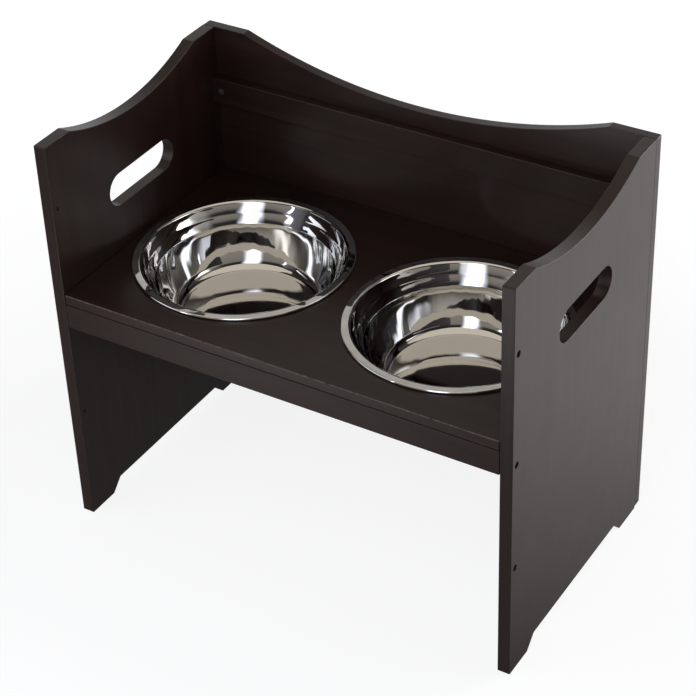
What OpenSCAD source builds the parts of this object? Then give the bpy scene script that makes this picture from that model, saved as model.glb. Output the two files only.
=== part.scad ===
// Dog feeder stand: two side panels, a full back panel and a bowl shelf that bolts on at one of three heights.
// Millimetres. +X is right, +Y is back, +Z is up, and the origin is the middle of the footprint on the floor.

/* [Bowls] */
// Outside diameter of a bowl's rolled rim
rim_d = 262; // [200:1:300]
// Diameter of the rolled bead at the rim's edge
bead_d = 3.4; // [2.4:0.2:5]
// Width of the flat ring between the bead and the lip
flange_w = 6; // [3:0.1:9]
// Radius where the flat ring turns down into the lip
lip_corner_r = 5; // [3:0.5:7]
// Lean of the flared lip from upright, in degrees
lip_lean = 32; // [28:1:45]
// Height from the top of the rim to the line below the lip
lip_h = 23.6; // [14:0.2:28]
// Lean of the curved wall from upright at the line below the lip, in degrees
wall_top_lean = 8; // [4:1:14]
// Lean of the curved wall from upright at its foot, in degrees
wall_foot_lean = 29; // [24:1:34]
// Depth inside a bowl, from the top of the rim
bowl_depth = 75; // [60:0.2:90]
// Radius inside between the wall and the floor
bowl_fillet = 16; // [10:1:24]
// Thickness of the bowl's steel
steel_t = 0.8; // [0.6:0.1:1.2]
// Room under the bead, so that the bowl lifts freely
rim_seat_gap = 0.2; // [0.1:0.1:0.4]
// Width of the rim that lies on the shelf
rim_bearing = 7.5; // [6:0.5:9]

/* [Layout] */
// Gap between the two rims
bowl_gap = 22; // [10:1:60]
// Gap between a rim and the side panel
rim_side_gap = 7; // [3:0.5:40]
// Distance from a rim to the front and rear edges of the side panels
rim_margin = 33; // [24:0.5:60]

/* [Boards] */
// Thickness of the side panels
side_t = 15; // [12:0.5:20]
// Thickness of the back panel
back_t = 12; // [11:0.5:18]
// Thickness of the bowl shelf
shelf_t = 12; // [11:0.5:18]
// Thickness of the front rail
rail_t = 18; // [16:0.5:22]
// Height of the front rail and of the rear ledgers
rail_h = 33; // [30:1:45]
// Thickness of the rear ledgers
ledger_t = 12; // [11:0.5:18]
// Gap at each end of the shelf
shelf_end_gap = 0.6; // [0.2:0.1:0.9]
// Gap between the shelf and the back panel
shelf_back_gap = 0.4; // [0.2:0.1:0.9]
// Gap between the back panel and the floor
back_floor_gap = 2; // [1:0.5:10]

/* [Heights] */
// Height of the lowest bolt hole
low_hole_z = 151; // [145:1:170]
// Step from one shelf height to the next
hole_pitch = 141; // [125:1:150]
// Position that the shelf is bolted at
shelf_position = 1; // [0:Low, 1:Middle, 2:High]
// Height of the bolt above the rail's lower edge
bolt_up = 14; // [11:0.5:18]
// Back panel left above the upper ledger, at its lowest point
back_above = 20; // [8:1:40]

/* [Outlines] */
// Depth of the scoop in the back panel's top
back_sag = 43; // [20:1:60]
// Level stretch at each end of the back panel's top
back_flat = 57; // [40:1:90]
// Depth of the scoop in a side panel's top
side_sag = 26; // [12:1:40]
// Level stretch at each end of a side panel's top
side_flat = 44; // [32:1:60]
// Length of the grip slot
slot_l = 125; // [100:1:150]
// Height of the grip slot
slot_h = 41; // [30:1:50]
// Wood between the grip slot and the lowest point of the side panel's top
slot_wood = 69; // [50:1:80]
// Length of a foot on the floor
foot_l = 43; // [30:1:70]
// Height of the recess between the feet, which has 45 degree ends
recess_h = 16; // [8:1:24]

/* [Fasteners] */
// Distance of the bolt holes from the side panel's front edge
bolt_in = 9; // [8:0.5:10]
// Diameter of the rail bolt
bolt_d = 5; // [4:0.5:6]
// Length of the rail bolt under its head
bolt_l = 45; // [40:1:55]
// Diameter of the rail bolt's head
bolt_head_d = 7.6; // [7:0.2:9]
// Height of the rail bolt's head
bolt_head_h = 5; // [3.5:0.5:6]
// Depth of the pocket that takes the rail bolt's head
bolt_pocket = 7; // [6:0.5:9]
// Room all round the rail bolt's head in its pocket
pocket_gap = 0.2; // [0.1:0.1:0.5]
// Diameter of the barrel nut
nut_d = 10; // [9:0.5:11]
// Length of the barrel nut
nut_l = 14; // [12:0.5:15]
// Distance of the barrel nut from the end of the rail
nut_in = 28; // [20:1:32]
// Diameter of the dowels in the shelf and in the side panels
dowel_d = 8; // [6:0.5:8]
// Length of those dowels
dowel_l = 28; // [24:1:34]
// How far those dowels go into the thinner board
dowel_sunk = 8; // [6:0.5:9]
// Diameter of the dowels behind the ledgers
small_dowel_d = 6; // [5:0.5:8]
// Length of the dowels behind the ledgers
small_dowel_l = 16; // [12:1:18]
// Diameter of the ledger screws
screw_d = 4; // [3.5:0.5:4.5]
// Length of the ledger screws
screw_l = 19; // [17:0.5:20]
// Diameter of the ledger screws' flat heads
screw_head_d = 8; // [7:0.5:9]
// Distance of the ledger screws from the ends of the ledger
screw_in = 12; // [9:1:30]
// Diameter of the back panel screws
panel_screw_d = 7; // [6:0.5:7.5]
// Length of the back panel screws
panel_screw_l = 50; // [45:1:60]
// Diameter of the back panel screws' flat heads
panel_screw_head_d = 10; // [9:0.5:12]
// Heights of the lowest and the highest back panel screw, from the lower and upper ends
panel_screw_in = 55; // [40:1:70]
// Room all round a fastener in its hole
hole_gap = 0.1; // [0.05:0.05:0.2]

/* [Hidden] */
$fn = 96;
espresso = "#2a2220";
steel = "#c9cbcc";
zinc = "#8d8f92";
beech = "#c8a878";

// A cut runs past a face by this much
past = 1;
// A blind hole is this much deeper than what goes in
hole_spare = 0.5;
// Across flats of the hexagon sockets, and their depth
hex_af = 4;
hex_depth = 2.8;
// Arm length, arm width and depth of the cross recess in a ledger screw
cross_l = 4.4;
cross_w = 1;
cross_depth = 1.4;

rim_r = rim_d / 2;
bead_r = bead_d / 2;
inner_w = 2 * rim_d + bowl_gap + 2 * rim_side_gap;
stand_w = inner_w + 2 * side_t;
side_d = rim_d + 2 * rim_margin;
stand_d = side_d + back_t;
front_y = -stand_d / 2;
back_y = front_y + side_d;
bowl_x = (rim_d + bowl_gap) / 2;
bowl_y = front_y + side_d / 2;
opening_r = rim_r - rim_bearing;

hole_z = [for (i = [0 : 2]) low_hole_z + i * hole_pitch];
rail_top = [for (z = hole_z) z - bolt_up + rail_h];
shelf_z = rail_top[shelf_position];
shelf_top = shelf_z + shelf_t;
stand_h = rail_top[2] + back_above + back_sag;
ledger_y = back_y - ledger_t;
bolt_y = front_y + bolt_in;
nut_x = inner_w / 2 - nut_in;
slot_z = stand_h - side_sag - slot_wood - slot_h / 2;

shelf_dowel_x = [-1.5, -0.5, 0.5, 1.5] * (inner_w - 2 * nut_in) / 4;
ledger_dowel_x = [-1, 1] * inner_w / 6;
ledger_screw_x = [-1, 1] * (inner_w / 2 - screw_in);
screw_span = stand_h - 2 * panel_screw_in;
panel_screw_z = [for (i = [0 : 3]) panel_screw_in + i * screw_span / 3];
panel_dowel_z = [for (i = [0 : 2]) panel_screw_in + (i + 0.5) * screw_span / 3];
edge_x = stand_w / 2 - side_t / 2;

// Points on an arc about (x, y), from one angle to another
function arc(x, y, r, from, to, steps) =
    [for (i = [0 : steps]) let (a = from + (to - from) * i / steps) [x + r * cos(a), y + r * sin(a)]];

// Radius of the circle whose cap has this chord and depth
function cap_radius(chord, sag) = (chord * chord / 4 + sag * sag) / (2 * sag);

// Half outline of a bowl: x is the radius and y the height above the shelf
rim_top = rim_seat_gap + bead_d;
lip_x = rim_r - bead_r - flange_w;
lip_y = rim_top - lip_corner_r;
lip_turn = 180 - lip_lean;
line_y = rim_top - lip_h;
floor_y = rim_top - bowl_depth;
function lip_r(y, t) =
    lip_x + (lip_corner_r - t) * cos(lip_turn)
    - (lip_y + (lip_corner_r - t) * sin(lip_turn) - y) * tan(lip_lean);
line_r = lip_r(line_y, 0);
fillet_y = floor_y + bowl_fillet;
wall_foot_y = fillet_y - bowl_fillet * sin(wall_foot_lean);
wall_r = (line_y - wall_foot_y) / (sin(wall_foot_lean) - sin(wall_top_lean));
wall_x = line_r - wall_r * cos(wall_top_lean);
wall_y = line_y + wall_r * sin(wall_top_lean);
fillet_x = wall_x + (wall_r - bowl_fillet) * cos(wall_foot_lean);
outer_line_y =
    line_y + steel_t * (1 / cos(wall_top_lean) - 1 / cos(lip_lean)) / (tan(lip_lean) - tan(wall_top_lean));
outer_top_lean = asin((wall_y - outer_line_y) / (wall_r + steel_t));
wall_steps = 8;
wall_step = (wall_foot_lean - wall_top_lean) / wall_steps;
outer_step = (wall_foot_lean - outer_top_lean) / wall_steps;
bead_end = 180 - asin((bead_r - steel_t) / bead_r);
bowl_outline = concat(
    [[0, floor_y]],
    arc(fillet_x, fillet_y, bowl_fillet, -90, -wall_foot_lean, 10),
    arc(wall_x, wall_y, wall_r, wall_step - wall_foot_lean, -wall_top_lean, wall_steps - 1),
    arc(lip_x, lip_y, lip_corner_r, lip_turn, 90, 6),
    arc(rim_r - bead_r, rim_top - bead_r, bead_r, 90, bead_end - 360, 16),
    arc(lip_x, lip_y, lip_corner_r - steel_t, 90, lip_turn, 6),
    arc(wall_x, wall_y, wall_r + steel_t, -outer_top_lean, outer_step - wall_foot_lean, wall_steps - 1),
    arc(fillet_x, fillet_y, bowl_fillet + steel_t, -wall_foot_lean, -90, 10),
    [[0, floor_y - steel_t]]
);

module mirrored(right) {
    mirror([right ? 1 : 0, 0, 0]) children();
}

module along_x(length, d) {
    rotate([0, 90, 0]) cylinder(h = length, d = d);
}

module along_y(length, d) {
    rotate([-90, 0, 0]) cylinder(h = length, d = d);
}

// A countersunk screw whose head is flush at y = 0 and whose point is at y = length
module flat_screw(d, head_d, length) {
    head_h = (head_d - d) / 2;
    rotate([-90, 0, 0]) {
        cylinder(h = head_h, d1 = head_d, d2 = d);
        cylinder(h = length, d = d);
    }
}

// The hole for that screw
module flat_screw_hole(d, head_d, length) {
    translate([0, -hole_gap, 0])
        flat_screw(d + 2 * hole_gap, head_d + 2 * hole_gap, length + hole_gap + hole_spare);
    translate([0, -past, 0]) along_y(past, head_d + 2 * hole_gap);
}

module hex_socket() {
    cylinder(h = hex_depth + past, d = hex_af / cos(30), $fn = 6);
}

// Side panel outline, x from the front edge and y from the floor
module side_outline() {
    rise = recess_h;
    scoop_chord = side_d - 2 * side_flat;
    scoop_r = cap_radius(scoop_chord, side_sag);
    difference() {
        polygon([
            [0, 0], [foot_l, 0], [foot_l + rise, rise],
            [side_d - foot_l - rise, rise], [side_d - foot_l, 0], [side_d, 0],
            [side_d, stand_h], [0, stand_h]
        ]);
        translate([side_d / 2, stand_h - side_sag + scoop_r]) circle(r = scoop_r, $fn = 360);
        translate([side_d / 2, slot_z]) {
            square([slot_l - slot_h, slot_h], center = true);
            for (side = [-1, 1]) {
                translate([side * (slot_l - slot_h) / 2, 0]) circle(d = slot_h);
            }
        }
    }
}

// The left panel; the right one is its mirror image
module side_panel() {
    outer_x = -stand_w / 2;
    color(espresso) difference() {
        translate([outer_x, front_y, 0]) rotate([90, 0, 90]) linear_extrude(side_t) side_outline();
        for (z = hole_z) {
            translate([outer_x - past, bolt_y, z]) {
                along_x(side_t + 2 * past, bolt_d + 2 * hole_gap);
                along_x(bolt_pocket + past, bolt_head_d + 2 * pocket_gap);
            }
        }
        back_face_y = back_y + back_t;
        for (z = panel_screw_z) {
            translate([-edge_x, back_face_y, z]) rotate([0, 0, 180])
                flat_screw_hole(panel_screw_d, panel_screw_head_d, panel_screw_l);
        }
        for (z = panel_dowel_z) {
            translate([-edge_x, back_y + dowel_sunk - dowel_l - hole_spare, z])
                along_y(dowel_l, dowel_d + 2 * hole_gap);
        }
    }
}

module back_panel() {
    scoop_r = cap_radius(stand_w - 2 * back_flat, back_sag);
    color(espresso) difference() {
        translate([-stand_w / 2, back_y, back_floor_gap]) cube([stand_w, back_t, stand_h - back_floor_gap]);
        translate([0, back_y - past, stand_h - back_sag + scoop_r]) rotate([-90, 0, 0])
            cylinder(h = back_t + 2 * past, r = scoop_r, $fn = 720);
        for (side = [-1, 1]) {
            for (z = panel_screw_z) {
                translate([side * edge_x, back_y + back_t, z]) rotate([0, 0, 180])
                    flat_screw_hole(panel_screw_d, panel_screw_head_d, panel_screw_l);
            }
            for (z = panel_dowel_z) {
                translate([side * edge_x, back_y - past, z])
                    along_y(dowel_sunk + hole_spare + past, dowel_d + 2 * hole_gap);
            }
        }
        for (top = rail_top) {
            ledger_holes(top);
        }
    }
}

// Screw and dowel holes for the ledger whose top is at this height
module ledger_holes(top) {
    for (x = ledger_screw_x) {
        translate([x, ledger_y, top - rail_h / 2]) flat_screw_hole(screw_d, screw_head_d, screw_l);
    }
    for (x = ledger_dowel_x) {
        translate([x, back_y - small_dowel_l / 2 - hole_spare, top - rail_h / 2])
            along_y(small_dowel_l + 2 * hole_spare, small_dowel_d + 2 * hole_gap);
    }
}

module ledger(top) {
    color(espresso) difference() {
        translate([-inner_w / 2, ledger_y, top - rail_h]) cube([inner_w, ledger_t, rail_h]);
        ledger_holes(top);
    }
}

module ledger_screws(top) {
    for (x = ledger_screw_x) {
        translate([x, ledger_y, top - rail_h / 2]) color(zinc) difference() {
            flat_screw(screw_d, screw_head_d, screw_l);
            for (turn = [0, 90]) {
                rotate([0, turn, 0]) translate([-cross_l / 2, -past, -cross_w / 2])
                    cube([cross_l, cross_depth + past, cross_w]);
            }
        }
    }
}

module ledger_dowels(top) {
    for (x = ledger_dowel_x) {
        color(beech) translate([x, back_y - small_dowel_l / 2, top - rail_h / 2])
            along_y(small_dowel_l, small_dowel_d);
    }
}

module bowl_shelf() {
    shelf_w = inner_w - 2 * shelf_end_gap;
    shelf_d = side_d - shelf_back_gap;
    color(espresso) difference() {
        translate([-shelf_w / 2, front_y, shelf_z]) cube([shelf_w, shelf_d, shelf_t]);
        for (side = [-1, 1]) {
            translate([side * bowl_x, bowl_y, shelf_z - past])
                cylinder(h = shelf_t + 2 * past, r = opening_r, $fn = 180);
        }
        for (x = shelf_dowel_x) {
            translate([x, bolt_y, shelf_z - past])
                cylinder(h = dowel_sunk + hole_spare + past, d = dowel_d + 2 * hole_gap);
        }
    }
}

module front_rail() {
    bore_l = bolt_l - side_t + bolt_pocket + 2 * hole_spare;
    nut_front = bolt_in - nut_l / 2 - hole_spare;
    color(espresso) difference() {
        translate([-inner_w / 2, front_y, shelf_z - rail_h]) cube([inner_w, rail_t, rail_h]);
        for (right = [false, true]) {
            mirrored(right) translate([-inner_w / 2 - past, bolt_y, hole_z[shelf_position]])
                along_x(bore_l + past, bolt_d + 2 * hole_gap);
            mirrored(right) translate([-nut_x, front_y + nut_front, hole_z[shelf_position]])
                along_y(rail_t - nut_front + past, nut_d + 2 * hole_gap);
        }
        for (x = shelf_dowel_x) {
            translate([x, bolt_y, shelf_z + dowel_sunk - dowel_l - hole_spare])
                cylinder(h = dowel_l, d = dowel_d + 2 * hole_gap);
        }
    }
}

module shelf_dowels() {
    for (x = shelf_dowel_x) {
        color(beech) translate([x, bolt_y, shelf_z + dowel_sunk - dowel_l]) cylinder(h = dowel_l, d = dowel_d);
    }
}

module bowl(side) {
    color(steel) translate([side * bowl_x, bowl_y, shelf_top])
        rotate_extrude($fn = 180) polygon(bowl_outline);
}

// The left bolt; the right one is its mirror image
module rail_bolt() {
    seat_x = -stand_w / 2 + bolt_pocket;
    color(zinc) translate([seat_x, bolt_y, hole_z[shelf_position]]) difference() {
        union() {
            along_x(bolt_l, bolt_d);
            translate([-bolt_head_h, 0, 0]) along_x(bolt_head_h, bolt_head_d);
        }
        translate([-bolt_head_h + hex_depth, 0, 0]) rotate([0, -90, 0]) hex_socket();
    }
}

// The left nut; the right one is its mirror image
module barrel_nut() {
    color(zinc) translate([-nut_x, bolt_y, hole_z[shelf_position]]) difference() {
        translate([0, -nut_l / 2, 0]) along_y(nut_l, nut_d);
        translate([-nut_d, 0, 0]) along_x(2 * nut_d, bolt_d + 2 * hole_gap);
    }
}

// The left row of screws; the right one is its mirror image
module back_screws() {
    for (z = panel_screw_z) {
        color(zinc) translate([-edge_x, back_y + back_t, z]) rotate([0, 0, 180]) difference() {
            flat_screw(panel_screw_d, panel_screw_head_d, panel_screw_l);
            translate([0, hex_depth, 0]) rotate([90, 0, 0]) hex_socket();
        }
    }
}

// The left row of dowels; the right one is its mirror image
module back_dowels() {
    for (z = panel_dowel_z) {
        color(beech) translate([-edge_x, back_y + dowel_sunk - dowel_l, z]) along_y(dowel_l, dowel_d);
    }
}

side_panel();  // left_side_panel
mirrored(true) side_panel();  // right_side_panel
back_panel();
bowl_shelf();
front_rail();
ledger(rail_top[2]);  // upper_ledger
ledger(rail_top[1]);  // middle_ledger
ledger(rail_top[0]);  // lower_ledger
bowl(-1);  // left_bowl
bowl(1);  // right_bowl
rail_bolt();  // left_rail_bolt
mirrored(true) rail_bolt();  // right_rail_bolt
barrel_nut();  // left_barrel_nut
mirrored(true) barrel_nut();  // right_barrel_nut
shelf_dowels();
ledger_screws(rail_top[2]);  // upper_ledger_screws
ledger_screws(rail_top[1]);  // middle_ledger_screws
ledger_screws(rail_top[0]);  // lower_ledger_screws
ledger_dowels(rail_top[2]);  // upper_ledger_dowels
ledger_dowels(rail_top[1]);  // middle_ledger_dowels
ledger_dowels(rail_top[0]);  // lower_ledger_dowels
back_screws();  // left_back_screws
mirrored(true) back_screws();  // right_back_screws
back_dowels();  // left_back_dowels
mirrored(true) back_dowels();  // right_back_dowels
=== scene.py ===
"""Looks of the dog feeder stand: dark foil-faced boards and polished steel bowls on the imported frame."""

import math

import bmesh
import bpy
from mathutils import Matrix, Vector
from mathutils.geometry import tessellate_polygon


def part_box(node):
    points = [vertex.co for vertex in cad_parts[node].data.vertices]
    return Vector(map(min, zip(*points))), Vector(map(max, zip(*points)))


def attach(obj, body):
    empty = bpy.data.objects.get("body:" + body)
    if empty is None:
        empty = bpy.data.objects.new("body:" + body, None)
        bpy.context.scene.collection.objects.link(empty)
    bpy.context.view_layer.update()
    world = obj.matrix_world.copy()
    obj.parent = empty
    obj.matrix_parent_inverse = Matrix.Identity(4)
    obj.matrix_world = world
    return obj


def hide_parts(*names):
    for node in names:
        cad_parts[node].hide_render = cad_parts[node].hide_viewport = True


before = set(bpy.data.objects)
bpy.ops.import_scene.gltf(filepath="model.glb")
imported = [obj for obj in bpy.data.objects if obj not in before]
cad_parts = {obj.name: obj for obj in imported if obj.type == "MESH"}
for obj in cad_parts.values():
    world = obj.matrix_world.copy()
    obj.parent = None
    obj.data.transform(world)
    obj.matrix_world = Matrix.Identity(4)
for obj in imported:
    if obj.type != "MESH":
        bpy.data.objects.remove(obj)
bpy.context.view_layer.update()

MM = 0.001

# Board shapes, in millimetres
ARRIS = 0.6
SHELF_ARRIS = 1.3
JOINT_ARRIS = 0.3
HOLE_ARRIS = 0.35
ARRIS_STEPS = 4
GROOVE_HEIGHT = 1.0
GROOVE_DEPTH = 3.0
CORNER = 1.6
CORNER_STEPS = 5
SIDE_FLAT = 44
SIDE_SAG = 26
BACK_FLAT = 57
BACK_SAG = 43
SCOOP_STEPS = 48
FOOT_LENGTH = 43
RECESS_HEIGHT = 16
SLOT_LENGTH = 125
SLOT_HEIGHT = 41
SLOT_WOOD = 69
SLOT_STEPS = 24
RIM_BEARING = 7.5
OPENING_POINTS = 160

# How pale an arris is painted: partly the pallor of rubbing, and partly a painted highlight of the light on
# its rounding
LIGHT_WEAR_AND_HIGHLIGHT = 0.25
FULL_PAINTED_HIGHLIGHT = 1

# An outline that turns less than this runs on smoothly, and edges sharper than that aren't shaded smooth
SMOOTH_TURN = math.radians(8)
SHARP_EDGE = math.radians(40)

# Holes and fasteners, in millimetres
HOLE_POINTS = 40
BOLT_IN = 9
BOLT_HEIGHTS = (151, 292, 433)
BOLT_BORE = 5.2
BOLT_POCKET = 8.0
BOLT_POCKET_DEPTH = 7
NUT_BORE = 10.2
NUT_BORE_DEPTH = 16
NUT_IN = 28
LEDGER_SCREW_IN = 12
LEDGER_SCREW_HEAD = 8.2
LEDGER_SCREW_BORE = 4.2
BACK_SCREW_HEAD = 10.2
BACK_SCREW_BORE = 7.2
BACK_SCREW_HEIGHTS = (55, 190, 325, 460)
SKIN_GAP = 0.01
FASTENER_BEVEL = 0.2
FASTENER_BEVEL_SEGMENTS = 2

# Bowl outline, in millimetres; heights are above the shelf
BOWL_POINTS = 240
ON_AXIS = 0.001
STEEL = 0.8
FLOOR_HEIGHT = -71.4
FLOOR_RISE = 1.0
DISC_RADIUS = 52.0
DISC_STEPS = 12
FLOOR_FILLET = 16.0
FILLET_STEPS = 20
FOOT_LEAN = math.radians(29)
WALL_TOP_LEAN = math.radians(8)
WALL_STEPS = 24
LINE_HEIGHT = -20.0
LINE_ROUND = 3.0
LINE_STEPS = 6
LIP_LEAN = math.radians(32)
LIP_HOLLOW = 0.45
COVE_STEPS = 8
LIP_CORNER = 5.0
LIP_CORNER_STEPS = 12
RING_WIDTH = 6.0
RIM_TOP = 3.6
BEAD = 1.7
BEAD_STEPS = 28

# Radii between which the ripples of the bowl's sheet grow to their full height, in millimetres
RIPPLE_START = 77
RIPPLE_FULL = 92

# Floor; lengths are in metres, and a strength of 1 is white
FLOOR_RADIUS = 4
FLOOR_POINTS = 96
GREY_WITHIN = 0.5
WHITE_BEYOND = 1.4
NEAR_STRENGTH = 0.86
FAR_STRENGTH = 1
# Mirrors see the floor with painted light towards the right and back, and painted shade near the stand
MIRROR_DIM_AT = 0.15
MIRROR_BRIGHT_AT = 0.86
MIRROR_DIM = 0.17
MIRROR_BRIGHT = 0.83

# Room that mirrors see: colours by the height of the view direction, from 0 at the horizon to 1 overhead
CEILING = (0.84, "#e2d8ca")
ROOM_BEHIND = ((0.1, "#ffffff"), (0.4, "#dcd9d5"), (0.62, "#b7b2ab"), (0.81, "#4a4744"), CEILING)
ROOM_AHEAD = ((0.05, "#b5a99d"), (0.28, "#958e86"), (0.5, "#807c77"), (0.62, "#353332"),
              (0.81, "#2b2928"), CEILING)
ROOM_TURNS_FROM = 0.15
ROOM_TURNS_TO = -0.25
FILL_STRENGTH = 0.1

# Lamps: where they point, in metres, and the shares of their width and height over which they fade
LAMP_AIM = Vector((0, 0, 0.33))
LAMP_FADES = (("X", 0.45), ("Y", 0.15))
WHITE = "#ffffff"
COOL_WHITE = "#eaf0ff"

# Camera, in metres, millimetres of film and degrees
LENS = 107.2
SENSOR = 36
CLIP_END = 50
CAMERA_AT = Vector((1.0471, -1.6517, 1.6366))
CAMERA_AZIMUTH = math.radians(32.570)
CAMERA_ELEVATION = math.radians(35.565)
CAMERA_ROLL = math.radians(2.344)

X_AXIS = 0
Z_AXIS = 2

# Sockets of a Mix node that is set to colours, whose names aren't unique
SHARE = 0
FROM = 6
TO = 7
MIXED = 2


def linear(code):
    """The linear colour of an sRGB hex code."""
    values = [int(code[i:i + 2], 16) / 255 for i in (1, 3, 5)]
    return (*(v / 12.92 if v <= 0.04045 else ((v + 0.055) / 1.055) ** 2.4 for v in values), 1)


def add(tree, kind, inputs=None, **settings):
    """Adds a node; settings are its own properties, and inputs are values or the sockets that feed it."""
    node = tree.nodes.new("ShaderNode" + kind)
    for name, value in settings.items():
        setattr(node, name, value)
    for name, value in (inputs or {}).items():
        if isinstance(value, bpy.types.NodeSocket):
            tree.links.new(value, node.inputs[name])
        else:
            node.inputs[name].default_value = value
    return node


def per_mm(size):
    """The texture scale, per metre, of a pattern whose features are this many millimetres wide."""
    return 1 / (size * MM)


def new_material(name):
    """An empty material, and its tree and output node."""
    material = bpy.data.materials.new(name)
    material.use_nodes = True
    tree = material.node_tree
    tree.nodes.clear()
    return material, tree, add(tree, "OutputMaterial")


# Materials

def espresso_foil(name, grain_axis):
    """Espresso wood-print foil pressed on fibreboard and lacquered satin.

    It gives a nearly black red-brown whose colour is drowned by soft reflections, with faint pores along
    the board, slow changes of sheen, and arrises painted paler, partly by rubbing and partly as a painted
    highlight.
    """
    material, tree, output = new_material(name)
    place = add(tree, "TexCoord").outputs["Object"]
    # Pores are about 0.2 mm wide on the real foil, and drawn at 0.9 mm so that they show at all
    pore_scale = [per_mm(0.9)] * 3
    pore_scale[grain_axis] = per_mm(38)
    stretched = add(tree, "Mapping", {"Vector": place, "Scale": pore_scale}).outputs["Vector"]
    pores = add(tree, "TexNoise", {"Vector": stretched, "Scale": 1, "Detail": 3,
                                   "Roughness": 0.6}).outputs["Fac"]
    # The printed figure is about 14 mm wide and 260 mm long
    figure_scale = [per_mm(14)] * 3
    figure_scale[grain_axis] = per_mm(260)
    drawn_out = add(tree, "Mapping", {"Vector": place, "Scale": figure_scale}).outputs["Vector"]
    figure = add(tree, "TexNoise", {"Vector": drawn_out, "Scale": 1, "Detail": 4,
                                    "Distortion": 0.6}).outputs["Fac"]
    browns = add(tree, "ValToRGB", {"Fac": figure})
    for stop, position, code in zip(browns.color_ramp.elements, (0.3, 0.75), ("#23150f", "#331f18")):
        stop.position = position
        stop.color = linear(code)
    pore_mask = add(tree, "MapRange", {"Value": pores, "From Min": 0.56,
                                       "From Max": 0.72}).outputs["Result"]
    pored = add(tree, "Mix", {SHARE: pore_mask, FROM: browns.outputs["Color"], TO: linear("#1b1310")},
                data_type="RGBA").outputs[MIXED]
    # Arrises are painted pale in patches about 7 mm wide: partly the pallor of rubbing, and partly a painted
    # highlight of the light on their rounding
    rub_and_highlight_noise = add(tree, "TexNoise", {"Vector": place, "Scale": per_mm(7), "Detail": 4}).outputs["Fac"]
    rub_and_highlight = add(tree, "MapRange", {"Value": rub_and_highlight_noise, "From Min": 0.3, "From Max": 0.7,
                                    "To Max": 0.8}).outputs["Result"]
    arris = add(tree, "Attribute", attribute_name="arris_wear_and_highlight").outputs["Fac"]
    wear_and_highlight_share = add(tree, "Math", {0: arris, 1: rub_and_highlight}, operation="MULTIPLY").outputs["Value"]
    # This pale brown on the arrises is partly rubbing and partly a painted highlight
    colour = add(tree, "Mix", {SHARE: wear_and_highlight_share, FROM: pored, TO: linear("#8c7b70")},
                 data_type="RGBA").outputs[MIXED]
    sheen = add(tree, "TexNoise", {"Vector": place, "Scale": per_mm(45), "Detail": 3}).outputs["Fac"]
    roughness = add(tree, "MapRange", {"Value": sheen, "From Min": 0.3, "From Max": 0.7,
                                       "To Min": 0.32, "To Max": 0.35}).outputs["Result"]
    # The lacquer's orange peel is about 1.4 mm across
    peel = add(tree, "TexNoise", {"Vector": place, "Scale": per_mm(1.4), "Detail": 1}).outputs["Fac"]
    peeled = add(tree, "Bump", {"Height": peel, "Strength": 0.05, "Distance": 0.1 * MM}).outputs["Normal"]
    relief = add(tree, "Bump", {"Height": pores, "Strength": 0.08, "Distance": 0.1 * MM, "Normal": peeled},
                 invert=True).outputs["Normal"]
    shader = add(tree, "BsdfPrincipled", {"Base Color": colour, "Roughness": roughness, "IOR": 1.46,
                                          "Normal": relief})
    tree.links.new(shader.outputs["BSDF"], output.inputs["Surface"])
    return material


def bare_fibreboard():
    """Fibreboard bared by a drill, coloured a dull dark brown as painted shade inside the holes: matt and
    felted.
    """
    material, tree, output = new_material("drilled_fibreboard")
    place = add(tree, "TexCoord").outputs["Object"]
    fibres = add(tree, "TexNoise", {"Vector": place, "Scale": per_mm(0.8), "Detail": 5}).outputs["Fac"]
    # These dark browns are painted shade inside the drilled holes
    browns = add(tree, "ValToRGB", {"Fac": fibres})
    browns.color_ramp.elements[0].color = linear("#2a1f18")
    browns.color_ramp.elements[1].color = linear("#4d3b2d")
    felt = add(tree, "Bump", {"Height": fibres, "Strength": 0.3, "Distance": 0.2 * MM}).outputs["Normal"]
    shader = add(tree, "BsdfPrincipled", {"Base Color": browns.outputs["Color"], "Roughness": 0.85,
                                          "IOR": 1.45, "Normal": felt})
    tree.links.new(shader.outputs["BSDF"], output.inputs["Surface"])
    return material


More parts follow.
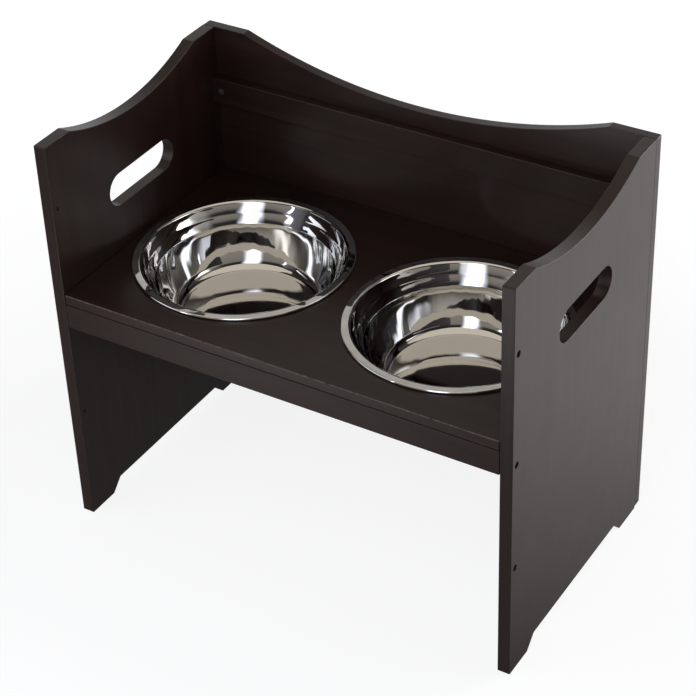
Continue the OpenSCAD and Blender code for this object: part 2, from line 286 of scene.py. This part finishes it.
def polished_stainless():
    """Stainless steel sheet, spun to a bowl and buffed to a mirror on the lathe.

    It gives hard reflections that waver where the sheet was stretched, and streaks across the buffing lines.
    """
    material, tree, output = new_material("polished_stainless_steel")
    place = add(tree, "TexCoord").outputs["Object"]
    parts = add(tree, "SeparateXYZ", {"Vector": place}).outputs
    flat = add(tree, "CombineXYZ", {"X": parts["X"], "Y": parts["Y"]}).outputs["Vector"]
    radius = add(tree, "VectorMath", {0: flat}, operation="LENGTH").outputs["Value"]
    along = add(tree, "Math", {0: radius, 1: parts["Z"]}, operation="ADD").outputs["Value"]
    # Buffing lines are under 0.1 mm on the real bowl, and drawn at 0.7 mm so that they show
    line_at = add(tree, "Math", {0: along, 1: per_mm(0.7)}, operation="MULTIPLY").outputs["Value"]
    lines = add(tree, "TexNoise", {"W": line_at, "Scale": 1, "Detail": 3},
                noise_dimensions="1D").outputs["Fac"]
    # The sheet ripples along the wall where it was stretched, and stays flat in the floor
    ripple_scale = (per_mm(24), per_mm(24), per_mm(90))
    long_waves = add(tree, "Mapping", {"Vector": place, "Scale": ripple_scale}).outputs["Vector"]
    wave = add(tree, "TexNoise", {"Vector": long_waves, "Scale": 1, "Detail": 1}).outputs["Fac"]
    stretched = add(tree, "MapRange", {"Value": radius, "From Min": RIPPLE_START * MM,
                                       "From Max": RIPPLE_FULL * MM}).outputs["Result"]
    wavy = add(tree, "Bump", {"Height": wave, "Strength": stretched, "Distance": 0.8 * MM}).outputs["Normal"]
    buffed = add(tree, "Bump", {"Height": lines, "Strength": 0.03, "Distance": 0.05 * MM,
                                "Normal": wavy}).outputs["Normal"]
    # A faint haze of wiping comes and goes over about 12 mm
    haze = add(tree, "TexNoise", {"Vector": place, "Scale": per_mm(12), "Detail": 4}).outputs["Fac"]
    roughness = add(tree, "MapRange", {"Value": haze, "From Min": 0.3, "From Max": 0.7,
                                       "To Min": 0.03, "To Max": 0.055}).outputs["Result"]
    around = add(tree, "Tangent", direction_type="RADIAL", axis="Z").outputs["Tangent"]
    shader = add(tree, "BsdfPrincipled", {"Base Color": linear("#d3d2d0"), "Metallic": 1,
                                          "Roughness": roughness, "Anisotropic": 0.3,
                                          "Tangent": around, "Normal": buffed})
    tree.links.new(shader.outputs["BSDF"], output.inputs["Surface"])
    return material


def zinc_plate():
    """Steel fasteners, turned and zinc plated: a dull bluish grey with a mottled sheen."""
    material, tree, output = new_material("zinc_plated_steel")
    place = add(tree, "TexCoord").outputs["Object"]
    mottle = add(tree, "TexNoise", {"Vector": place, "Scale": per_mm(1.1), "Detail": 4}).outputs["Fac"]
    greys = add(tree, "ValToRGB", {"Fac": mottle})
    greys.color_ramp.elements[0].color = linear("#7f8488")
    greys.color_ramp.elements[1].color = linear("#b4b8ba")
    roughness = add(tree, "MapRange", {"Value": mottle, "To Min": 0.24, "To Max": 0.5}).outputs["Result"]
    shader = add(tree, "BsdfPrincipled", {"Base Color": greys.outputs["Color"], "Metallic": 1,
                                          "Roughness": roughness})
    tree.links.new(shader.outputs["BSDF"], output.inputs["Surface"])
    return material


def turned_beech():
    """Beech dowel rod, left bare: pale pinkish tan with short dark flecks and a dry surface."""
    material, tree, output = new_material("turned_beech")
    place = add(tree, "TexCoord").outputs["Object"]
    flecks = add(tree, "TexVoronoi", {"Vector": place, "Scale": per_mm(1.6)}).outputs["Distance"]
    tans = add(tree, "ValToRGB", {"Fac": flecks})
    tans.color_ramp.elements[0].color = linear("#a8814f")
    tans.color_ramp.elements[1].color = linear("#d2b48a")
    dry = add(tree, "Bump", {"Height": flecks, "Strength": 0.2, "Distance": 0.1 * MM}).outputs["Normal"]
    shader = add(tree, "BsdfPrincipled", {"Base Color": tans.outputs["Color"], "Roughness": 0.6,
                                          "IOR": 1.5, "Normal": dry})
    tree.links.new(shader.outputs["BSDF"], output.inputs["Surface"])
    return material


upright_foil = espresso_foil("espresso_foil_grain_upright", Z_AXIS)
across_foil = espresso_foil("espresso_foil_grain_across", X_AXIS)
drilled = bare_fibreboard()
stainless = polished_stainless()
zinc = zinc_plate()
beech = turned_beech()


# Boards

def box_mm(node):
    """A node's lowest and highest corner, in millimetres."""
    low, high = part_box(node)
    return low / MM, high / MM


def rectangle(u0, v0, u1, v1):
    """The four corners of a rectangle, anticlockwise."""
    return [Vector((u0, v0)), Vector((u1, v0)), Vector((u1, v1)), Vector((u0, v1))]


def scoop(middle, top, chord, sag):
    """Points along a dished edge, from its right end to its left end."""
    radius = (chord * chord / 4 + sag * sag) / (2 * sag)
    half = math.asin(chord / 2 / radius)
    points = []
    for step in range(SCOOP_STEPS + 1):
        angle = half - 2 * half * step / SCOOP_STEPS
        points.append(Vector((middle + radius * math.sin(angle), top - sag + radius * (1 - math.cos(angle)))))
    return points


def eased(points):
    """(point, outward normal) pairs of a closed anticlockwise outline whose corners are rounded."""
    pairs = []
    for i, here in enumerate(points):
        before = (here - points[i - 1]).normalized()
        after = (points[(i + 1) % len(points)] - here).normalized()
        turn = math.atan2(before.x * after.y - before.y * after.x, before.dot(after))
        outward = Vector((before.y, -before.x))
        if abs(turn) < SMOOTH_TURN:
            pairs.append((here, (outward + Vector((after.y, -after.x))).normalized()))
            continue
        radius = math.copysign(CORNER, turn)
        centre = here - before * (CORNER * math.tan(abs(turn) / 2)) - outward * radius
        for step in range(CORNER_STEPS + 1):
            normal = Matrix.Rotation(turn * step / CORNER_STEPS, 2) @ outward
            pairs.append((centre + normal * radius, normal))
    return pairs


def round_hole(u, v, diameter, count=HOLE_POINTS):
    """(point, normal) pairs round a hole, clockwise, with the normals towards its middle."""
    pairs = []
    for i in range(count):
        angle = -2 * math.pi * i / count
        spoke = Vector((math.cos(angle), math.sin(angle)))
        pairs.append((Vector((u, v)) + spoke * diameter / 2, -spoke))
    return pairs


def grip_hole(u, v):
    """(point, normal) pairs round the grip slot, clockwise, with the normals into the slot."""
    pairs = []
    for end, start in ((1, math.pi / 2), (-1, -math.pi / 2)):
        middle = Vector((u + end * (SLOT_LENGTH - SLOT_HEIGHT) / 2, v))
        for step in range(SLOT_STEPS + 1):
            angle = start - math.pi * step / SLOT_STEPS
            spoke = Vector((math.cos(angle), math.sin(angle)))
            pairs.append((middle + spoke * SLOT_HEIGHT / 2, -spoke))
    return pairs


def arris_steps(radius, wear_and_highlight=LIGHT_WEAR_AND_HIGHLIGHT):
    """(depth, inset, paleness from rubbing and painted highlight) down a rounded arris, from the face of a
    board to its edge.
    """
    angles = [math.pi / 2 * i / ARRIS_STEPS for i in range(ARRIS_STEPS + 1)]
    return [(radius * (1 - math.cos(a)), radius * (1 - math.sin(a)), wear_and_highlight * math.sin(2 * a)) for a in angles]


def edge_steps(near, far, thickness):
    """The steps of an edge between the arris at a board's near face and the one at its far face."""
    return near + [(thickness - depth, inset, wear_and_highlight) for depth, inset, wear_and_highlight in reversed(far)]


def bore_steps(thickness, levels):
    """The steps of a drilled hole; levels are (depth, inset) pairs below its rounded mouth."""
    return arris_steps(HOLE_ARRIS, 0) + [(min(depth, thickness), inset, 0) for depth, inset in levels]


def countersunk(u, v, head, bore, thickness):
    """The bore of a countersunk screw: its loop, its steps, and that it goes through."""
    step = (head - bore) / 2
    steps = [(0, 0, 0), (step, -step, 0), (thickness, -step, 0)]
    return round_hole(u, v, head), steps, True


def finish_piece(build, name, body, materials, at=(0, 0, 0)):
    """Turns a bmesh into a smooth-shaded piece that rides on a body."""
    bmesh.ops.recalc_face_normals(build, faces=build.faces)
    for face in build.faces:
        face.smooth = True
    for edge in build.edges:
        edge.smooth = len(edge.link_faces) == 2 and edge.calc_face_angle() < SHARP_EDGE
    mesh = bpy.data.meshes.new(name)
    build.to_mesh(mesh)
    build.free()
    for material in materials:
        mesh.materials.append(material)
    piece = bpy.data.objects.new(name, mesh)
    piece.location = at
    bpy.context.scene.collection.objects.link(piece)
    flat_first = piece.modifiers.new("flat_faces_first", "WEIGHTED_NORMAL")
    flat_first.keep_sharp = True
    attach(piece, body)
    return piece


def make_board(name, node, place, outline, thickness, foil, slots=(), bores=(), edge=None):
    """A board with rounded arrises; place turns (u, v, depth) in millimetres into a point of the row frame.

    bores are (loop, steps, through) triples, and edge is the steps of an outline that isn't rounded as usual.
    """
    build = bmesh.new()
    # Each vertex carries how pale its arris is painted, by rubbing and as a painted highlight
    wear_and_highlight = build.verts.layers.float.new("arris_wear_and_highlight")
    foiled, bared = range(2)
    usual = edge_steps(arris_steps(ARRIS), arris_steps(ARRIS), thickness)
    walls = [(outline, edge or usual, True, foiled)]
    walls += [(loop, usual, True, foiled) for loop in slots]
    walls += [(loop, steps, through, bared) for loop, steps, through in bores]
    near_rings = []
    far_rings = []
    for loop, steps, through, finish in walls:
        rings = []
        for depth, inset, wear_and_highlight_share in steps:
            ring = [build.verts.new(Vector(place(*(p - n * inset), depth)) * MM) for p, n in loop]
            for vert in ring:
                vert[wear_and_highlight] = wear_and_highlight_share
            rings.append(ring)
        for upper, lower in zip(rings, rings[1:]):
            for i in range(len(loop)):
                face = build.faces.new((upper[i - 1], upper[i], lower[i], lower[i - 1]))
                face.material_index = finish
        near_rings.append(rings[0])
        if through:
            far_rings.append(rings[-1])
        else:
            build.faces.new(rings[-1]).material_index = finish
    for rings in (near_rings, far_rings):
        corners = [vert for ring in rings for vert in ring]
        for triangle in tessellate_polygon([[vert.co for vert in ring] for ring in rings]):
            build.faces.new([corners[i] for i in triangle])
    board = finish_piece(build, name, "stand", [foil, drilled])
    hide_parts(node)


def side_panel(side, node):
    """A side panel: dished top, grip slot, two feet and three counterbored bolt holes."""
    low, high = box_mm(node)
    middle = (low.y + high.y) / 2
    thickness = high.x - low.x
    outer = low.x if side == "left" else high.x
    inward = 1 if side == "left" else -1
    recess_front = low.y + FOOT_LENGTH
    recess_rear = high.y - FOOT_LENGTH
    points = [
        Vector((low.y, low.z)), Vector((recess_front, low.z)),
        Vector((recess_front + RECESS_HEIGHT, low.z + RECESS_HEIGHT)),
        Vector((recess_rear - RECESS_HEIGHT, low.z + RECESS_HEIGHT)),
        Vector((recess_rear, low.z)), Vector((high.y, low.z)), Vector((high.y, high.z)),
        *scoop(middle, high.z, high.y - low.y - 2 * SIDE_FLAT, SIDE_SAG),
        Vector((low.y, high.z)),
    ]
    slot = grip_hole(middle, high.z - SIDE_SAG - SLOT_WOOD - SLOT_HEIGHT / 2)
    step = (BOLT_POCKET - BOLT_BORE) / 2
    levels = [(BOLT_POCKET_DEPTH, 0), (BOLT_POCKET_DEPTH, -step), (thickness, -step)]
    bores = [
        (round_hole(low.y + BOLT_IN, z, BOLT_POCKET), bore_steps(thickness, levels), True)
        for z in BOLT_HEIGHTS
    ]
    make_board(f"{side}_side_board", node, lambda u, v, d: (outer + inward * d, u, v), eased(points),
               thickness, upright_foil, [slot], bores)


def back_panel():
    """The back panel: dished top, and a row of countersunk screws up each end of its rear face."""
    low, high = box_mm("back_panel")
    thickness = high.y - low.y
    side_low, side_high = box_mm("left_side_panel")
    side_thickness = side_high.x - side_low.x
    points = [
        Vector((low.x, low.z)), Vector((high.x, low.z)), Vector((high.x, high.z)),
        *scoop(0, high.z, high.x - low.x - 2 * BACK_FLAT, BACK_SAG),
        Vector((low.x, high.z)),
    ]
    screws = [
        countersunk(u, v, BACK_SCREW_HEAD, BACK_SCREW_BORE, thickness)
        for u in (low.x + side_thickness / 2, high.x - side_thickness / 2) for v in BACK_SCREW_HEIGHTS
    ]
    make_board("back_board", "back_panel", lambda u, v, d: (u, high.y - d, v), eased(points), thickness,
               across_foil, bores=screws)


def bowl_shelf():
    """The shelf, with a round opening under each bowl."""
    low, high = box_mm("bowl_shelf")
    thickness = high.z - low.z
    openings = []
    for node in ("left_bowl", "right_bowl"):
        rim_low, rim_high = box_mm(node)
        middle = (rim_low + rim_high) / 2
        diameter = rim_high.x - rim_low.x - 2 * RIM_BEARING
        openings.append(round_hole(middle.x, middle.y, diameter, OPENING_POINTS))
    # Its upper arris is painted pale in patches all along, as a painted highlight of the light on its rounded
    # edge
    edge = edge_steps(arris_steps(SHELF_ARRIS, FULL_PAINTED_HIGHLIGHT), arris_steps(JOINT_ARRIS), thickness)
    make_board("shelf_board", "bowl_shelf", lambda u, v, d: (u, v, high.z - d),
               eased(rectangle(low.x, low.y, high.x, high.y)), thickness, across_foil, openings, edge=edge)


def front_rail():
    """The rail under the shelf's front edge, with a barrel nut in a blind hole near each end of its rear."""
    low, high = box_mm("front_rail")
    thickness = high.y - low.y
    nut_z = BOLT_HEIGHTS[1]
    nuts = [
        (round_hole(u, nut_z, NUT_BORE), bore_steps(thickness, [(NUT_BORE_DEPTH, 0)]), False)
        for u in (low.x + NUT_IN, high.x - NUT_IN)
    ]
    # Its front arris is planed off flat, which leaves a narrow dark groove under the shelf
    planed = [(0, GROOVE_HEIGHT, 0), (GROOVE_DEPTH, 0, 0)]
    edge = edge_steps(arris_steps(ARRIS), planed, thickness)
    make_board("rail_board", "front_rail", lambda u, v, d: (u, high.y - d, v),
               eased(rectangle(low.x, low.z, high.x, high.z)), thickness, across_foil, bores=nuts, edge=edge)


def ledger(node):
    """A rear ledger, held by a countersunk screw near each end."""
    low, high = box_mm(node)
    thickness = high.y - low.y
    screws = [
        countersunk(u, (low.z + high.z) / 2, LEDGER_SCREW_HEAD, LEDGER_SCREW_BORE, thickness)
        for u in (low.x + LEDGER_SCREW_IN, high.x - LEDGER_SCREW_IN)
    ]
    make_board(f"{node}_board", node, lambda u, v, d: (u, low.y + d, v),
               eased(rectangle(low.x, low.z, high.x, high.z)), thickness, across_foil, bores=screws)


side_panel("left", "left_side_panel")
side_panel("right", "right_side_panel")
back_panel()
bowl_shelf()
front_rail()
for ledger_node in ("upper_ledger", "middle_ledger", "lower_ledger"):
    ledger(ledger_node)


# Bowls

def sweep(centre, radius, start, end, steps):
    """Points along an arc; angles are in radians."""
    angles = [start + (end - start) * i / steps for i in range(steps + 1)]
    return [centre + Vector((math.cos(a), math.sin(a))) * radius for a in angles]


def hollowed(start, end, hollow, steps):
    """Points between the ends of a dished line, which bows outwards by this much at its middle."""
    outward = Vector((end.y - start.y, start.x - end.x)).normalized()
    shares = [i / steps for i in range(1, steps)]
    return [start.lerp(end, share) + outward * (4 * hollow * share * (1 - share)) for share in shares]


def bowl_skin(rim, depth):
    """Points of a bowl's sheet from its middle to the flat ring, this far below the inside surface.

    rim is the radius of the bowl's rim.
    """
    right_angle = math.pi / 2
    corner_at = Vector((rim - BEAD - RING_WIDTH, RIM_TOP - LIP_CORNER))
    lip_top = corner_at + Vector((-math.cos(LIP_LEAN), math.sin(LIP_LEAN))) * LIP_CORNER
    line_at = Vector((lip_top.x - (lip_top.y - LINE_HEIGHT) * math.tan(LIP_LEAN), LINE_HEIGHT))
    # The wall is an arc from the line below the lip to its foot, where the floor's fillet takes over
    fillet_height = FLOOR_HEIGHT + FLOOR_FILLET
    foot_height = fillet_height - FLOOR_FILLET * math.sin(FOOT_LEAN)
    wall_radius = (LINE_HEIGHT - foot_height) / (math.sin(FOOT_LEAN) - math.sin(WALL_TOP_LEAN))
    wall_at = line_at + Vector((-math.cos(WALL_TOP_LEAN), math.sin(WALL_TOP_LEAN))) * wall_radius
    foot_radius = wall_at.x + wall_radius * math.cos(FOOT_LEAN)
    fillet_at = Vector((foot_radius - FLOOR_FILLET * math.cos(FOOT_LEAN), fillet_height))
    # The middle of the floor is a slightly raised disc
    disc_height = FLOOR_HEIGHT + FLOOR_RISE - depth
    disc = [Vector((DISC_RADIUS * i / DISC_STEPS, disc_height)) for i in range(DISC_STEPS + 1)]
    fillet = sweep(fillet_at, FLOOR_FILLET + depth, -right_angle, -FOOT_LEAN, FILLET_STEPS)
    wall = sweep(wall_at, wall_radius + depth, -FOOT_LEAN, -WALL_TOP_LEAN, WALL_STEPS)[1:-1]
    # The line below the lip is a soft bend, whose centre lies outside the bowl
    half_bend = (LIP_LEAN - WALL_TOP_LEAN) / 2
    across = (LIP_LEAN + WALL_TOP_LEAN) / 2
    bend_at = line_at + Vector((math.cos(across), -math.sin(across))) * (LINE_ROUND / math.cos(half_bend))
    bend = sweep(bend_at, LINE_ROUND - depth, math.pi - WALL_TOP_LEAN, math.pi - LIP_LEAN, LINE_STEPS)
    corner = sweep(corner_at, LIP_CORNER - depth, math.pi - LIP_LEAN, right_angle, LIP_CORNER_STEPS)
    # A drawn ridge parts the lip in two shallow coves
    ridge = bend[-1].lerp(corner[0], 0.5)
    lower_cove = hollowed(bend[-1], ridge, LIP_HOLLOW, COVE_STEPS)
    upper_cove = hollowed(ridge, corner[0], LIP_HOLLOW, COVE_STEPS)
    return disc + fillet + wall + bend + lower_cove + [ridge] + upper_cove + corner


def bowl(side):
    """A bowl turned from its outline: flat floor, leaning wall, flared lip, flat ring and rolled bead."""
    node = f"{side}_bowl"
    low, high = box_mm(node)
    shelf_top = box_mm("bowl_shelf")[1].z
    middle = (low + high) / 2
    rim = (high.x - low.x) / 2
    underside_meets = math.pi - math.asin((BEAD - STEEL) / BEAD)
    bead = sweep(Vector((rim - BEAD, RIM_TOP - BEAD)), BEAD, math.pi / 2, underside_meets - 2 * math.pi,
                 BEAD_STEPS)
    outline = bowl_skin(rim, 0) + bead + bowl_skin(rim, STEEL)[::-1]
    angles = [2 * math.pi * i / BOWL_POINTS for i in range(BOWL_POINTS)]
    build = bmesh.new()
    rings = []
    for point in outline:
        if point.x < ON_AXIS:
            rings.append([build.verts.new((0, 0, point.y * MM))])
            continue
        rings.append([build.verts.new(Vector((point.x * math.cos(a), point.x * math.sin(a), point.y)) * MM)
                      for a in angles])
    for inner, outer in zip(rings, rings[1:]):
        for i in range(BOWL_POINTS):
            if len(inner) == 1:
                corners = [inner[0], outer[i], outer[i - 1]]
            elif len(outer) == 1:
                corners = [inner[i - 1], inner[i], outer[0]]
            else:
                corners = [inner[i - 1], inner[i], outer[i], outer[i - 1]]
            build.faces.new(corners)
    at = Vector((middle.x, middle.y, shelf_top)) * MM
    piece = finish_piece(build, f"{node}_spun", node, [stainless], at)
    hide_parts(node)


bowl("left")
bowl("right")


# Fasteners and dowels keep their solids

for name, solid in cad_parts.items():
    if "dowel" in name:
        finish = beech
    elif "screw" in name or "bolt" in name or "nut" in name:
        finish = zinc
    else:
        continue
    solid.data.materials.clear()
    solid.data.materials.append(finish)
    weld = solid.modifiers.new("one_skin", "WELD")
    weld.merge_threshold = SKIN_GAP * MM
    soften = solid.modifiers.new("worn_edges", "BEVEL")
    soften.width = FASTENER_BEVEL * MM
    soften.segments = FASTENER_BEVEL_SEGMENTS
    soften.limit_method = "ANGLE"
    soften.angle_limit = SHARP_EDGE
    soften.harden_normals = True


# Studio

def studio_floor():
    """A white paper floor that fades to pure white away from the stand and keeps its soft shadow."""
    build = bmesh.new()
    bmesh.ops.create_circle(build, cap_ends=True, radius=FLOOR_RADIUS, segments=FLOOR_POINTS)
    mesh = bpy.data.meshes.new("studio_floor")
    build.to_mesh(mesh)
    build.free()
    floor = bpy.data.objects.new("studio_floor", mesh)
    bpy.context.scene.collection.objects.link(floor)
    material, tree, output = new_material("white_paper_floor")
    path = add(tree, "LightPath").outputs
    mirrored = add(tree, "Math", {0: path["Is Glossy Ray"], 1: path["Is Transmission Ray"]},
                   operation="ADD").outputs["Value"]
    place = add(tree, "TexCoord").outputs["Object"]
    # Mirrors see the paper brighten towards the right and the back: a painted pool of light there, and
    # painted shade at the stand and in front of it
    rearward = add(tree, "VectorMath", {0: place, 1: (1, 1, 0)}, operation="DOT_PRODUCT").outputs["Value"]
    mirror_lift = add(tree, "MapRange", {"Value": rearward,
                                         "From Min": MIRROR_DIM_AT, "From Max": MIRROR_BRIGHT_AT,
                                         "To Min": MIRROR_DIM, "To Max": MIRROR_BRIGHT}).outputs["Result"]
    mirror_glow = add(tree, "Math", {0: mirrored, 1: mirror_lift}, operation="MULTIPLY").outputs["Value"]
    # The camera sees it whiten away from the stand
    distance = add(tree, "VectorMath", {0: place}, operation="LENGTH").outputs["Value"]
    lift = add(tree, "MapRange", {"Value": distance, "From Min": GREY_WITHIN, "From Max": WHITE_BEYOND,
                                  "To Min": NEAR_STRENGTH, "To Max": FAR_STRENGTH}).outputs["Result"]
    camera_glow = add(tree, "Math", {0: path["Is Camera Ray"], 1: lift},
                      operation="MULTIPLY").outputs["Value"]
    strength = add(tree, "Math", {0: camera_glow, 1: mirror_glow}, operation="ADD").outputs["Value"]
    glow = add(tree, "Emission", {"Color": linear(WHITE), "Strength": strength}).outputs["Emission"]
    # Under that glow the paper is white to the light that it sends up, and greyer to the camera and mirrors
    white = add(tree, "BsdfDiffuse", {"Color": linear("#efeeed")}).outputs["BSDF"]
    pale = add(tree, "BsdfDiffuse", {"Color": linear("#8c8c8c")}).outputs["BSDF"]
    dimmed = add(tree, "BsdfDiffuse", {"Color": linear("#646464")}).outputs["BSDF"]
    unseen = add(tree, "MixShader", {0: mirrored, 1: white, 2: dimmed}).outputs["Shader"]
    paper = add(tree, "MixShader", {0: path["Is Camera Ray"], 1: unseen, 2: pale}).outputs["Shader"]
    surface = add(tree, "AddShader", {0: paper, 1: glow}).outputs["Shader"]
    tree.links.new(surface, output.inputs["Surface"])
    mesh.materials.append(material)


def studio_world():
    """White to the camera. Mirrors see a white backdrop behind, a dark room in front and a warm ceiling."""
    world = bpy.data.worlds.new("studio")
    bpy.context.scene.world = world
    world.use_nodes = True
    tree = world.node_tree
    tree.nodes.clear()
    path = add(tree, "LightPath").outputs
    direction = add(tree, "TexCoord").outputs["Generated"]
    parts = add(tree, "SeparateXYZ", {"Vector": direction}).outputs
    walls = []
    for stops in (ROOM_BEHIND, ROOM_AHEAD):
        wall = add(tree, "ValToRGB", {"Fac": parts["Z"]})
        elements = wall.color_ramp.elements
        while len(elements) < len(stops):
            elements.new(0.5)
        for element, (position, code) in zip(elements, stops):
            element.position = position
            element.color = linear(code)
        walls.append(wall.outputs["Color"])
    behind, ahead = walls
    front = add(tree, "MapRange", {"Value": parts["Y"], "From Min": ROOM_TURNS_FROM,
                                   "From Max": ROOM_TURNS_TO}).outputs["Result"]
    room = add(tree, "Mix", {SHARE: front, FROM: behind, TO: ahead}, data_type="RGBA").outputs[MIXED]
    mirrored = add(tree, "Math", {0: path["Is Glossy Ray"], 1: path["Is Transmission Ray"]},
                   operation="ADD", use_clamp=True).outputs["Value"]
    fill = add(tree, "Background", {"Color": linear(WHITE), "Strength": FILL_STRENGTH}).outputs["Background"]
    reflected = add(tree, "Background", {"Color": room, "Strength": 1}).outputs["Background"]
    white = add(tree, "Background", {"Color": linear(WHITE), "Strength": 1}).outputs["Background"]
    lit = add(tree, "MixShader", {0: mirrored, 1: fill, 2: reflected}).outputs["Shader"]
    shown = add(tree, "MixShader", {0: path["Is Camera Ray"], 1: lit, 2: white}).outputs["Shader"]
    add(tree, "OutputWorld", {"Surface": shown})


def softbox(name, at, width, height, watts, code=WHITE):
    """A soft area lamp at a place in metres, turned towards the bowls, that fades towards its edges."""
    lamp = bpy.data.lights.new(name, "AREA")
    lamp.shape = "RECTANGLE"
    lamp.size = width
    lamp.size_y = height
    lamp.energy = watts
    lamp.color = linear(code)[:3]
    lamp.use_nodes = True
    tree = lamp.node_tree
    tree.nodes.clear()
    spot = add(tree, "SeparateXYZ", {"Vector": add(tree, "NewGeometry").outputs["Parametric"]}).outputs
    fades = []
    for axis, margin in LAMP_FADES:
        # How far a spot is from the nearer of two opposite edges, as a share of the lamp
        inset = add(tree, "Math", {0: spot[axis], 1: 0.5}, operation="PINGPONG").outputs["Value"]
        fades.append(add(tree, "MapRange", {"Value": inset, "From Max": margin},
                         interpolation_type="SMOOTHSTEP").outputs["Result"])
    strength = add(tree, "Math", {0: fades[0], 1: fades[1]}, operation="MULTIPLY").outputs["Value"]
    shine = add(tree, "Emission", {"Strength": strength}).outputs["Emission"]
    add(tree, "OutputLight", {"Surface": shine})
    box = bpy.data.objects.new(name, lamp)
    box.location = at
    box.rotation_euler = (Vector(at) - LAMP_AIM).to_track_quat("Z", "Y").to_euler()
    box.visible_camera = False
    bpy.context.scene.collection.objects.link(box)


def studio_camera():
    """The camera, where the photograph was taken from."""
    camera = bpy.data.objects.new("camera", bpy.data.cameras.new("camera"))
    camera.data.lens = LENS
    camera.data.sensor_width = SENSOR
    camera.data.clip_end = CLIP_END
    level = math.cos(CAMERA_ELEVATION)
    forward = Vector((-math.sin(CAMERA_AZIMUTH) * level, math.cos(CAMERA_AZIMUTH) * level,
                      -math.sin(CAMERA_ELEVATION)))
    right = forward.cross(Vector((0, 0, 1))).normalized()
    up = right.cross(forward)
    rolled_right = right * math.cos(CAMERA_ROLL) - up * math.sin(CAMERA_ROLL)
    rolled_up = up * math.cos(CAMERA_ROLL) + right * math.sin(CAMERA_ROLL)
    turned = Matrix((rolled_right, rolled_up, -forward)).transposed().to_4x4()
    camera.matrix_world = Matrix.Translation(CAMERA_AT) @ turned
    bpy.context.scene.collection.objects.link(camera)
    bpy.context.scene.camera = camera


studio_floor()
studio_world()
softbox("key_softbox", (0.34, -1.16, 1.0), 0.75, 1.7, 13, COOL_WHITE)
softbox("strip_softbox", (-0.97, -1.82, 0.9), 0.2, 1.4, 5, COOL_WHITE)
softbox("left_softbox", (-1.5, -1.1, 1.2), 2.2, 1.3, 13, COOL_WHITE)
softbox("right_softbox", (1.3, 0.6, 1.2), 1.2, 1.2, 8)
softbox("rear_softbox", (1.15, 1.15, 0.55), 0.7, 0.8, 16)
softbox("front_softbox", (-0.2, -0.7, 0.04), 0.8, 0.07, 1.3)
studio_camera()
bpy.context.scene.view_settings.view_transform = "Standard"

bpy.context.view_layer.update()
